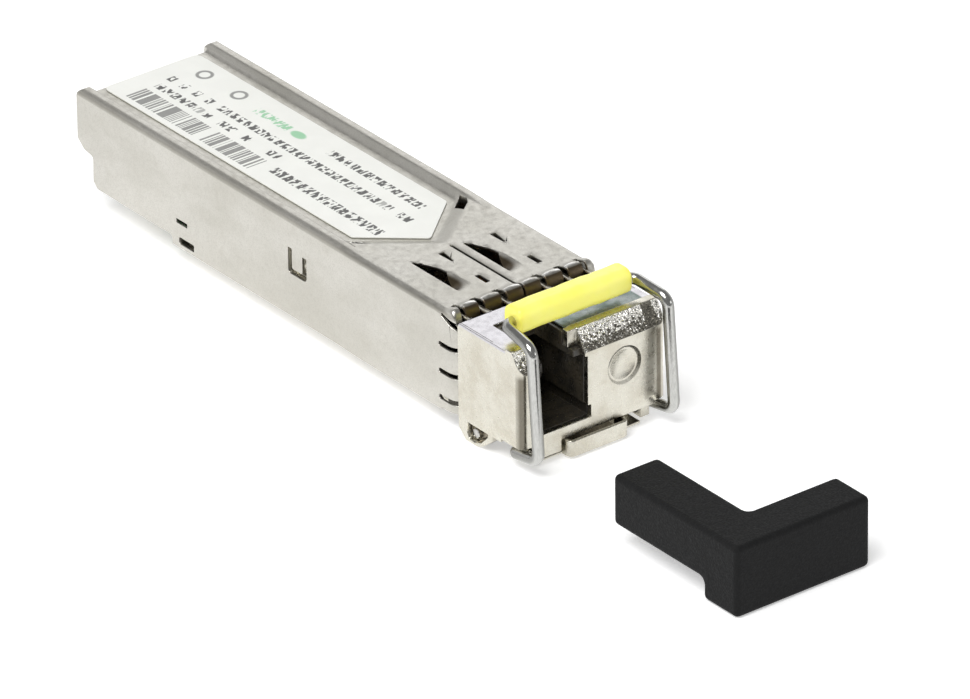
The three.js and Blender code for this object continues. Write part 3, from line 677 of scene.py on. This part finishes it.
def gold():
    paint = Paint("gold", (0.80, 0.56, 0.20), 0.25, 1.0)
    paint.color(paint.blend(paint.noise(2.0), (0.84, 0.60, 0.24), (0.70, 0.47, 0.16)))
    paint.roughness(paint.spread(paint.noise(4.0), 0.3, 0.7, 0.18, 0.34))
    paint.bump(paint.noise(10.0), 0.15, 0.01)
    return paint


def flex_film():
    """Amber polyimide film over copper tracks."""
    paint = Paint("flex_film", (0.42, 0.16, 0.03), 0.35)
    track = paint.between(paint.math("FRACT", paint.math("DIVIDE", paint.axis("X"), 0.6)),
                          0.25, 0.75, 0.06)
    paint.color(paint.blend(track, (0.36, 0.13, 0.02), (0.62, 0.27, 0.06)))
    paint.bump(track, 0.3, 0.02)
    return paint


def board_green():
    """Solder mask with darker and lighter tracks under it."""
    paint = Paint("board_green", (0.015, 0.11, 0.04), 0.30, Coat_Weight=0.3, Coat_Roughness=0.2)
    lanes = paint.between(paint.math("FRACT", paint.math("DIVIDE", paint.axis("X"), 0.5)),
                          0.3, 0.65, 0.05)
    gate = paint.spread(stripes(paint, paint.axis("Y"), 3.7, 5.0), 0.3, 0.35)
    tracks = paint.math("MULTIPLY", lanes, gate)
    tone = paint.blend(paint.noise(0.8), (0.012, 0.095, 0.034), (0.022, 0.135, 0.05))
    paint.color(paint.blend(paint.math("MULTIPLY", tracks, 0.7), tone, (0.04, 0.22, 0.08)))
    paint.bump(tracks, 0.35, 0.03)
    return paint


def chip_black():
    paint = Paint("chip_black", (0.022, 0.022, 0.024), 0.5)
    paint.color(paint.blend(paint.noise(3.0, 4.0), (0.018, 0.018, 0.02), (0.034, 0.034, 0.037)))
    paint.bump(paint.noise(18.0, 3.0), 0.35, 0.02)
    return paint


def passive_tan():
    """Ceramic capacitor body between two tinned ends."""
    paint = Paint("passive_tan", (0.36, 0.24, 0.13), 0.5)
    paint.color(paint.blend(paint.noise(3.0, 4.0), (0.32, 0.21, 0.11), (0.45, 0.31, 0.18)))
    paint.bump(paint.noise(14.0), 0.25, 0.02)
    return paint


def silicone_pad():
    paint = Paint("silicone_pad", (0.34, 0.45, 0.56), 0.75)
    paint.color(paint.blend(paint.noise(1.2, 4.0), (0.31, 0.42, 0.53), (0.40, 0.50, 0.60)))
    paint.bump(paint.noise(5.0, 4.0), 0.4, 0.05)
    return paint


MATERIALS = {make.__name__: make() for make in (
    plated_sheet, nickel_casting, wire_steel, steel, black_rubber, yellow_plastic, black_plastic,
    label_paper, ceramic, gold, flex_film, board_green, chip_black, passive_tan, silicone_pad)}


def finish_piece(obj, body, slot, *nodes):
    """Places and paints a new piece, puts it on its body and hides the nodes it stands for."""
    settle(obj)
    MATERIALS[slot].coat_on(obj)
    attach(obj, body)
    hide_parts(*nodes)


# ---------------------------------------------------------------------------- stamped cover
def louvre_width(y):
    """Width of a louvre at the given place along the cover: a leaf that ends in a point."""
    return 1.3 * math.sqrt(1.0 - smooth((y - 14.0) / (LOUVRE_REAR + 0.2 - 14.0)))


def louvre_drop(x, y):
    """How far the pressed-down tongues of the louvres lie below the top."""
    if not LOUVRE_FRONT < y < LOUVRE_REAR:
        return 0.0
    width = louvre_width(y)
    depth = 0.75 * smooth((y - LOUVRE_FRONT) / 1.9)
    for edge in LOUVRES:
        if edge - 0.02 < x < edge + width:
            share = min((edge + width - x) / width, 1.0)
            return depth * share ** 0.8
    return 0.0


def recess_drop(x, y):
    """How far the label recess lies below the top, with its arrow-shaped front."""
    across = math.sqrt(x * x + 0.09)
    ahead = smooth((y - RAMP_START - ARROW_SLOPE * across) / RAMP_LENGTH * 0.86 + 0.07)
    beside = 1.0 - smooth((abs(x) - RIM_EDGE + 0.5) / 0.6)
    return RECESS_DROP * ahead * beside


def rim_rise(x, y):
    """The rims beside the label stand a little higher than the flat front."""
    return RIM_RISE * smooth((y - 21.0) / 4.0) * smooth((abs(x) - RIM_EDGE + 0.1) / 0.25)


def cover_section(inset):
    """Stations across the cover: (x, z, on the top?), from the left foot to the right foot."""
    half = SHELL_HALF - inset
    radius = FOLD_R - inset
    centre_x = SHELL_HALF - FOLD_R
    centre_z = SHELL_TOP - FOLD_R
    wall = [(half, z, False) for z in (0.0, 0.8, 2.0, 3.4, 4.8, 6.4, 7.0, 7.4, 7.7, centre_z)]
    fold = []
    for k in range(1, 9):
        turn = math.pi / 2 * k / 8
        fold.append((centre_x + radius * math.cos(turn), centre_z + radius * math.sin(turn), False))
    right = wall + fold
    left = [(-x, z, top) for x, z, top in right]
    stations = [6.1, 6.0, 5.92, 5.84, 5.76, 5.68, 5.6, 5.52, 5.44, 5.36, 5.28, 5.2, 5.1]
    stations += [5.0 - 0.1 * k for k in range(50)]
    over = [(-x, SHELL_TOP - inset, True) for x in stations]
    middle = [(0.0, SHELL_TOP - inset, True)]
    return left + over + middle + [(-x, z, top) for x, z, top in reversed(over)] + right[::-1]


def cover_rows():
    rows = [COVER_FRONT, 11.7, 12.1, LOUVRE_FRONT]
    while rows[-1] < 26.6:
        rows.append(round(rows[-1] + 0.15, 3))
    rows += [28.5, 31.0, 35.0, 40.0, FLOOR_END, 48.0, 52.0, 54.5, SHELL_REAR]
    return rows


def offset_line(line, distance):
    """A line (u, v) moved sideways by distance, to the left of its direction."""
    moved = []
    for i, (u, v) in enumerate(line):
        before = line[max(i - 1, 0)]
        after = line[min(i + 1, len(line) - 1)]
        along = Vector((after[0] - before[0], after[1] - before[1])).normalized()
        moved.append((u - along.y * distance, v + along.x * distance))
    return moved


# The curl of the spring fingers, from the cover forwards: (y, z) on the top, (y, x) on the sides.
TOP_CURL = ((11.15, 8.505), (10.95, 8.52), (10.75, 8.56), (10.55, 8.63), (10.35, 8.71),
            (10.18, 8.745), (10.02, 8.735), (9.88, 8.67), (9.76, 8.55), (9.65, 8.37),
            (9.56, 8.15), (9.49, 7.93), (9.44, 7.72), (9.41, 7.52))
SIDE_CURL = ((11.15, 6.7), (10.95, 6.7), (10.75, 6.7), (10.55, 6.7), (10.35, 6.69),
             (10.15, 6.67), (9.95, 6.63), (9.77, 6.56), (9.6, 6.46), (9.45, 6.35),
             (9.32, 6.23), (9.22, 6.11), (9.14, 6.0), (9.1, 5.92))


def crown(x, y):
    """Each top finger is slightly domed across its crest."""
    for (left, left_gap), (right, right_gap) in zip(TOP_GAPS, TOP_GAPS[1:]):
        low, high = left + left_gap / 2, right - right_gap / 2
        if low < x < high:
            share = (x - low) / (high - low) * 2.0 - 1.0
            return 0.11 * math.exp(-((y - 10.3) / 0.45) ** 2) * (1.0 - share ** 2)
    return 0.0


def finger_rows(inset):
    """The rows of the curl, from its free end to the cover."""
    top = offset_line(TOP_CURL, inset * 0.75)
    sides = offset_line(SIDE_CURL, inset * 0.75)
    stations = list(zip(cover_section(inset), cover_section(0.0)))
    rows = []
    for (top_y, top_z), (side_y, side_x), (crest_y, _) in zip(top, sides, TOP_CURL):
        sink = top_z - (SHELL_TOP - inset)
        curled = side_x - (SHELL_HALF - inset)
        row = []
        for (x, z, on_top), (_, outer_z, _) in stations:
            flat = 1.0 if on_top else smooth((outer_z - 7.4) / (SHELL_TOP - 7.4))
            row.append((x + curled * (1.0 - flat) * math.copysign(1.0, x),
                        side_y + (top_y - side_y) * flat,
                        z + sink * flat + crown(x, crest_y)))
        rows.append(row)
    return rows[::-1]


def cover_grid(inset):
    grid = finger_rows(inset)
    for y in cover_rows():
        row = []
        for x, z, on_top in cover_section(inset):
            if on_top:
                shifted = max(abs(x) - inset, 0.0)
                z = z - recess_drop(shifted, y + inset) - louvre_drop(x, y)
            row.append((x, y, z + rim_rise(x, y)))
        grid.append(row)
    return grid


def louvre_cutters(x):
    hole = [(x - 0.02, 13.1), (x + 0.4, 13.9), (x + 0.8, 14.9), (x + 1.12, 15.5), (x + 0.92, 16.6),
            (x + 0.5, 17.5), (x + 0.12, LOUVRE_REAR), (x - 0.02, LOUVRE_REAR)]
    relief = [(x + 2.42, 16.5), (x + 2.58, 16.5), (x + 2.85, 18.1), (x + 2.35, 18.1)]
    return [
        prism("hole", hole, 6.5, 9.0, "z"),
        block("relief", x + 2.313, x + 2.733, 12.27, 13.613, 6.5, 9.0),
        prism("rear_relief", relief, 6.5, 9.0, "z"),
        block("edge_cut", x - 0.06, x + 0.02, 12.9, 17.9, 6.5, 9.0),
    ]


def finger_cutters():
    """The gaps between the spring fingers and the notches at the two corners."""
    cuts = [block("gap", x - wide / 2, x + wide / 2, 9.0, 10.95, 7.42, 9.2) for x, wide in TOP_GAPS]
    for z in SIDE_SLOTS:
        slot = fillet([(8.9, z - 0.19), (11.5, z - 0.19, 0.18), (11.5, z + 0.19, 0.18),
                       (8.9, z + 0.19)])
        cuts.append(prism("slot", slot, -9.0, 9.0, "x"))
    corner = fillet([(8.7, 6.7), (9.3, 7.0), (11.1, 7.9, 0.12), (11.2, 8.2, 0.1), (9.3, 7.7),
                     (8.7, 7.5)])
    for side in (-1.0, 1.0):
        x0, x1 = sorted((side * 5.75, side * 7.5))
        cuts.append(prism("corner", corner, x0, x1, "x"))
    cuts.append(block("foot", -9.0, 9.0, 8.8, 11.2, -1.0, 0.15))
    return cuts


def side_cutters():
    """The openings and trims that go through both side walls."""
    tail = fillet([(FLOOR_END, -1.0), (FLOOR_END, 0.8, 0.25), (54.3, 0.8), (54.8, 1.3),
                   (54.8, 3.4, 0.3), (55.9, 3.6, 0.3), (SHELL_REAR, 4.3), (60.0, 4.3), (60.0, -1.0)])
    snap = fillet([(27.7, 3.75, 0.35), (30.0, 3.75, 0.35), (30.0, 5.9), (29.5, 5.9),
                   (29.5, 4.22, 0.15), (28.22, 4.22, 0.15), (28.22, 5.7), (27.7, 5.7)])
    lance = fillet([(41.95, 0.43), (43.85, 0.43, 0.2), (43.85, 1.0, 0.2), (41.95, 1.0)])
    slit = [(42.75, 2.15), (44.15, 2.15), (44.15, 2.5), (42.75, 2.5)]
    return [prism("through", shape, -9.0, 9.0, "x") for shape in (tail, snap, lance, slit)]


def rear_cap_cutters():
    """Rounds the rear ends of the two rims."""
    cuts = [block("floor_end", -5.5, 5.5, 56.3, 57.5, 7.0, 9.0)]
    for side in (-1.0, 1.0):
        x0, x1 = sorted((side * 5.4, side * 7.0))
        outline = [(55.95, 8.62), (56.25, 8.57), (56.5, 8.44), (56.68, 8.22), (56.76, 7.9),
                   (57.6, 7.9), (57.6, 9.2), (55.95, 9.2)]
        cuts.append(prism("cap", outline, x0, x1, "x"))
    return cuts


def make_cover():
    cover = slab("stamped_cover", cover_grid(0.0), cover_grid(SHEET))
    cutters = [block("slit", -0.1, 0.1, 10.0, 18.6, 7.0, 9.0)]
    for x in LOUVRES:
        cutters += louvre_cutters(x)
    window = [(4.35, 22.4), (5.6, 23.3), (5.6, 24.7), (4.35, 23.7)]
    cutters.append(prism("window", window, 7.0, 8.45, "z"))
    cutters.append(prism("window", [(-x, y) for x, y in window], 7.0, 8.45, "z"))
    carve(cover, cutters)
    carve(cover, finger_cutters())
    carve(cover, side_cutters())
    carve(cover, rear_cap_cutters())
    keep_cells(cover)
    soften(cover, 0.045, segments=2, angle=40.0, flatten=True)
    finish_piece(cover, "module", "plated_sheet", "top_cover")


# ----------------------------------------------------------------------- latch and its sleeve
BAIL_HALF = 6.38
BAR = (4.3, 9.78)
WIRE_R = 0.46


def make_bail():
    left = [(-4.95, 3.0, -0.22, 0.0), (-BAIL_HALF, 3.0, -0.22, 0.55), (-BAIL_HALF, -0.1, 0.28, 0.85),
            (-BAIL_HALF, 0.62, 9.35, 0.9), (-6.0, *BAR, 0.75)]
    right = [(-x, y, z, r) for x, y, z, r in reversed(left)]
    wire = tube("bail_loop", rounded_path(left + right), WIRE_R)
    soften(wire, 0.03, angle=60.0)
    finish_piece(wire, "bail", "wire_steel", "bail_wire")


def make_sleeve():
    """A soft square-section sleeve on the bail's cross bar."""
    y, z, half = 4.33, 9.98, 1.05
    middle, reach = -0.05, 5.25
    section = fillet([(-half, -half, 0.72), (half, -half, 0.72), (half, half, 0.72),
                      (-half, half, 0.72)], 6)
    count = len(section)
    stations = [(reach - 0.4, None), (reach - 0.02, None), (reach, 0.80), (reach - 0.02, 0.90),
                (reach - 0.10, 0.97), (reach - 0.3, 1.0)]
    rings = [(-x, share) for x, share in stations]
    rings += [(-4.0 + 0.8 * k, 1.0) for k in range(11)]
    rings += [(x, share) for x, share in reversed(stations)]
    points = []
    for x, share in rings:
        sag = 0.02 * math.sin(1.7 * x) + 0.012 * math.sin(4.1 * x + 1.0)
        for u, v in section:
            if share is None:
                tight = (WIRE_R - 0.06) / math.hypot(u, v)
                points.append((middle + x, BAR[0] + u * tight, BAR[1] + v * tight))
            else:
                points.append((middle + x, y + u * share + sag * 0.5, z + v * share + sag))
    faces = []
    for r in range(len(rings)):
        after = (r + 1) % len(rings)
        for k in range(count):
            n = (k + 1) % count
            faces.append([r * count + k, r * count + n, after * count + n, after * count + k])
    sleeve = mesh_object("grip_sleeve", points, faces)
    soften(sleeve, 0.05, angle=50.0)
    finish_piece(sleeve, "bail", "yellow_plastic", "bail_sleeve")


# ------------------------------------------------------------------------------- latch spring
def make_spring():
    """The arched leaf over the rocker's rear arm, as a fixed arch."""
    arch = fillet([(9.9, 0.8), (11.3, 1.45, 0.3), (12.8, 0.8), (12.8, 0.95), (11.3, 1.6, 0.3),
                   (9.9, 0.95)])
    leaf = prism("latch_leaf_spring", arch, -0.7, 0.7, "x")
    soften(leaf, 0.03)
    finish_piece(leaf, "module", "steel", "rocker_spring")
    apply_modifiers(leaf)
    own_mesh(leaf)


# --------------------------------------------------------------------------------- dust plug
def make_plug():
    left, right, arm = -8.12, 4.4, -3.9
    front, shoulder, tip = -25.35, -21.4, -11.0
    top = FLOOR_Z + 5.88
    under = top - 4.2
    plan = [(left, front), (right, front), (right, shoulder), (arm, shoulder), (arm, tip),
            (left, tip)]
    plug = prism("rubber_plug", plan, FLOOR_Z, top, "z")
    carve(plug, [block("under_arm", left - 1, arm + 1, shoulder, tip + 1, FLOOR_Z - 1, under)])
    soften(plug, 0.45, segments=5, angle=40.0, flatten=True)
    finish_piece(plug, "plug", "black_rubber", "dust_plug")


make_cover()
make_bail()
make_sleeve()
make_plug()
make_spring()


# ---------------------------------------------------------------- CAD nodes that keep their shape
KEPT_NODES = (
    ("base_casting", "nickel_casting", 0.07),
    ("label", "label_paper", 0.02),
    ("port_insert", "black_plastic", 0.06),
    ("receptacle_barrel", "steel", 0.05),
    ("ceramic_sleeve", "ceramic", 0.03),
    ("fibre_stub", "ceramic", 0.05),
    ("receptacle_clamp", "steel", 0.05),
    ("bosa_body", "steel", 0.08),
    ("laser_can", "gold", 0.06),
    ("photodiode_can", "gold", 0.06),
    ("laser_flex", "flex_film", 0.02),
    ("photodiode_flex", "flex_film", 0.02),
    ("circuit_board", "board_green", 0.05),
    ("edge_contacts_top", "gold", 0.01),
    ("edge_contacts_bottom", "gold", 0.01),
    ("laser_driver_chip", "chip_black", 0.06),
    ("limiting_amplifier_chip", "chip_black", 0.06),
    ("microcontroller_chip", "chip_black", 0.06),
    ("memory_chip", "chip_black", 0.06),
    ("power_inductor", "chip_black", 0.15),
    ("capacitor_1", "passive_tan", 0.08),
    ("capacitor_2", "passive_tan", 0.08),
    ("capacitor_3", "passive_tan", 0.08),
    ("thermal_pad", "silicone_pad", 0.1),
    ("latch_rocker", "nickel_casting", 0.06),
    ("rocker_pin", "steel", 0.08),
)

for name, slot, width in KEPT_NODES:
    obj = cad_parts[name]
    MATERIALS[slot].coat_on(obj)
    soften(obj, width, flatten=True)


# --------------------------------------------------------------------------- floor and lights
def make_floor():
    size = 3000.0
    floor = mesh_object("floor", [(-size, -size, FLOOR_Z), (size, -size, FLOOR_Z),
                                  (size, size, FLOOR_Z), (-size, size, FLOOR_Z)], [[0, 1, 2, 3]])
    paint = Paint("floor_white", (0.86, 0.86, 0.86), 0.7, Specular_IOR_Level=0.2)
    paint.set("Emission Color", (1.0, 1.0, 1.0, 1.0))
    paint.set("Emission Strength", 0.42)
    paint.coat_on(floor)
    settle(floor)


def area_light(name, where, size, power, target=(0.0, 0.0, 0.004)):
    lamp = bpy.data.lights.new(name, "AREA")
    lamp.shape = "RECTANGLE"
    lamp.size, lamp.size_y = size
    lamp.energy = power
    obj = bpy.data.objects.new(name, lamp)
    bpy.context.scene.collection.objects.link(obj)
    obj.location = where
    aim = Vector(target) - Vector(where)
    obj.rotation_euler = aim.to_track_quat("-Z", "Y").to_euler()


SWEEP_TOP = (0.12, 0.40)
SWEEP_LEVEL = 0.88
CEILING_LEVEL = 0.24


def make_lights():
    world = bpy.data.worlds.new("studio")
    bpy.context.scene.world = world
    world.use_nodes = True
    nodes = world.node_tree.nodes
    links = world.node_tree.links
    background = nodes["Background"]
    where = nodes.new("ShaderNodeTexCoord")
    split = nodes.new("ShaderNodeSeparateXYZ")
    links.new(where.outputs["Generated"], split.inputs[0])
    # A white sweep behind the object up to about 40 degrees, lower in front, and a dim ceiling.
    toward_back = nodes.new("ShaderNodeVectorMath")
    toward_back.operation = "DOT_PRODUCT"
    toward_back.inputs[1].default_value = (0.25, 0.42, 0.0)
    links.new(where.outputs["Generated"], toward_back.inputs[0])
    height = nodes.new("ShaderNodeMath")
    height.operation = "SUBTRACT"
    links.new(split.outputs["Z"], height.inputs[0])
    links.new(toward_back.outputs["Value"], height.inputs[1])
    ramp = nodes.new("ShaderNodeMapRange")
    ramp.interpolation_type = "SMOOTHSTEP"
    for socket, value in (("From Min", SWEEP_TOP[0]), ("From Max", SWEEP_TOP[1]),
                          ("To Min", SWEEP_LEVEL), ("To Max", CEILING_LEVEL)):
        ramp.inputs[socket].default_value = value
    links.new(height.outputs[0], ramp.inputs["Value"])
    links.new(ramp.outputs["Result"], background.inputs["Color"])
    background.inputs["Strength"].default_value = 1.0
    area_light("key", (-0.25, -0.1, 0.45), (0.30, 0.30), 2.2)
    area_light("rear_fill", (0.45, 0.45, 0.35), (0.4, 0.25), 0.25)
    area_light("front_fill", (0.38, -0.55, 0.20), (0.3, 0.08), 0.22)


def make_camera():
    """At the photograph's angle: nearly orthographic, so a long lens from close to a metre."""
    lens = bpy.data.cameras.new("camera")
    lens.sensor_width = 36.0
    lens.lens = 445.36
    lens.clip_start = 0.01
    lens.clip_end = 20.0
    camera = bpy.data.objects.new("camera", lens)
    bpy.context.scene.collection.objects.link(camera)
    azimuth, elevation, roll = (math.radians(a) for a in (-37.644, 28.567, -0.657))
    back = Vector((math.sin(azimuth) * math.cos(elevation), -math.cos(azimuth) * math.cos(elevation),
                   math.sin(elevation)))
    right = (-back).cross(Vector((0.0, 0.0, 1.0))).normalized()
    up = right.cross(-back)
    turned_right = right * math.cos(roll) + up * math.sin(roll)
    turned_up = up * math.cos(roll) - right * math.sin(roll)
    turn = Matrix((turned_right, turned_up, back)).transposed()
    camera.matrix_world = Matrix.Translation((-0.480875, -0.638907, 0.430022)) @ turn.to_4x4()
    bpy.context.scene.camera = camera


make_floor()
make_lights()
make_camera()
bpy.context.scene.view_settings.view_transform = "Standard"
